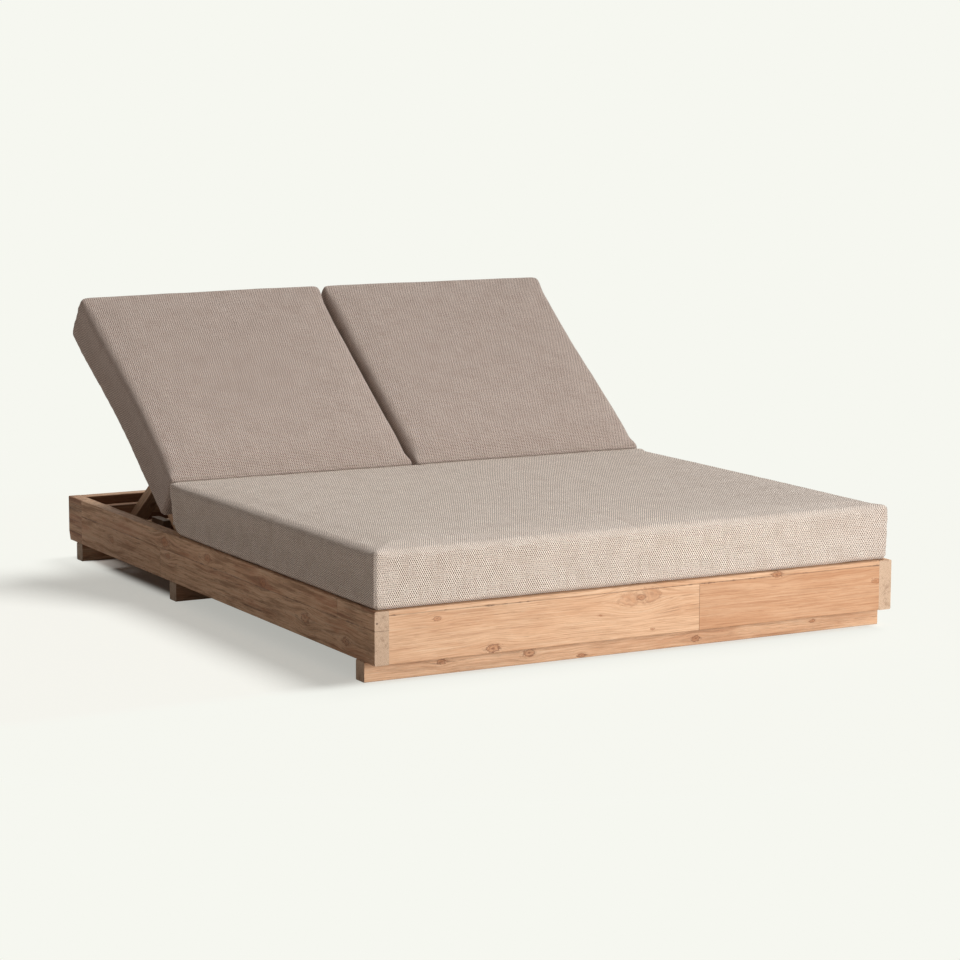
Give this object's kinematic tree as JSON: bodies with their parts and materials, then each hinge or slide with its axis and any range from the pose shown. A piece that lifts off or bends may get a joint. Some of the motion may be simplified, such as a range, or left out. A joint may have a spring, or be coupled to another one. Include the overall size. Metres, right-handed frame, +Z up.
{
  "type": "double chaise lounger",
  "caption": "Low wooden double chaise lounger with a wide seat cushion and separately tilting cushioned backrests on folding props.",
  "frame": {"origin": "centre of the footprint, on the floor", "axes": "+X across, to the right as seen from the foot end; +Y from the foot end to the head end; +Z up"},
  "size_m": [1.5, 2, 0.7773],
  "materials": {
    "pine": "reclaimed pine, planed and waxed, with knots, checks and glue lines",
    "fabric": "coarse woven outdoor fabric, two-tone, matt",
    "steel": "plain steel, satin"
  },
  "bodies": {
    "base": {"back_centre_beam": "pine", "front_foot_beam": "pine", "front_rail": "pine", "hinge_bracket": "steel", "hinge_pins": "steel", "hinge_rail": "pine", "left_inner_rack": "pine", "left_outer_rack": "pine", "left_rear_ledger": "pine", "left_seat_ledger": "pine", "left_side_rail": "pine", "middle_foot_beam": "pine", "rear_corner_blocks": "pine", "rear_foot_beam": "pine", "rear_rail": "pine", "right_inner_rack": "pine", "right_outer_rack": "pine", "right_rear_ledger": "pine", "right_seat_ledger": "pine", "right_side_rail": "pine", "seat_centre_beam": "pine", "seat_pad": "fabric", "seat_slat_1": "pine", "seat_slat_2": "pine", "seat_slat_3": "pine", "seat_slat_4": "pine", "seat_slat_5": "pine", "seat_slat_6": "pine", "seat_slat_7": "pine", "seat_slat_8": "pine"},
    "left_backrest": {"left_back_foot_rail": "pine", "left_back_head_rail": "pine", "left_back_inner_stile": "pine", "left_back_outer_stile": "pine", "left_back_slat_1": "pine", "left_back_slat_2": "pine", "left_back_slat_3": "pine", "left_back_slat_4": "pine", "left_prop_pins": "steel"},
    "left_prop": {"left_prop_foot_bar": "pine", "left_prop_inner_arm": "pine", "left_prop_outer_arm": "pine"},
    "left_back_cushion": {"left_back_pad": "fabric"},
    "right_backrest": {"right_back_foot_rail": "pine", "right_back_head_rail": "pine", "right_back_inner_stile": "pine", "right_back_outer_stile": "pine", "right_back_slat_1": "pine", "right_back_slat_2": "pine", "right_back_slat_3": "pine", "right_back_slat_4": "pine", "right_prop_pins": "steel"},
    "right_prop": {"right_prop_foot_bar": "pine", "right_prop_inner_arm": "pine", "right_prop_outer_arm": "pine"},
    "right_back_cushion": {"right_back_pad": "fabric"}
  },
  "joints": [
    {"name": "left_backrest_tilt", "type": "hinge", "parent": "base", "child": "left_backrest", "pos_m": [-0.375, 0.265, 0.16675], "axis": [1, 0, 0], "range_deg": [-36, 9]},
    {"name": "left_prop_swing", "type": "hinge", "parent": "left_backrest", "child": "left_prop", "pos_m": [-0.375, 0.48853, 0.3205], "axis": [1, 0, 0], "range_deg": [-18, 71.5]},
    {"name": "left_cushion_slide", "type": "slide", "parent": "left_backrest", "child": "left_back_cushion", "axis": [0, 0.809, 0.5878], "range_m": [-0.1005, 0.0255]},
    {"name": "right_backrest_tilt", "type": "hinge", "parent": "base", "child": "right_backrest", "pos_m": [0.375, 0.265, 0.16675], "axis": [1, 0, 0], "range_deg": [-36, 9]},
    {"name": "right_prop_swing", "type": "hinge", "parent": "right_backrest", "child": "right_prop", "pos_m": [0.375, 0.48853, 0.3205], "axis": [1, 0, 0], "range_deg": [-18, 71.5]},
    {"name": "right_cushion_slide", "type": "slide", "parent": "right_backrest", "child": "right_back_cushion", "axis": [0, 0.809, 0.5878], "range_m": [-0.1005, 0.0255]}
  ],
  "couplings": [
    {"joint": "left_prop_swing", "follows": "left_backrest_tilt", "ratio": -1.9799},
    {"joint": "left_cushion_slide", "follows": "left_backrest_tilt", "m_per_rad": 0.15946},
    {"joint": "right_prop_swing", "follows": "right_backrest_tilt", "ratio": -1.9799},
    {"joint": "right_cushion_slide", "follows": "right_backrest_tilt", "m_per_rad": 0.15946}
  ]
}
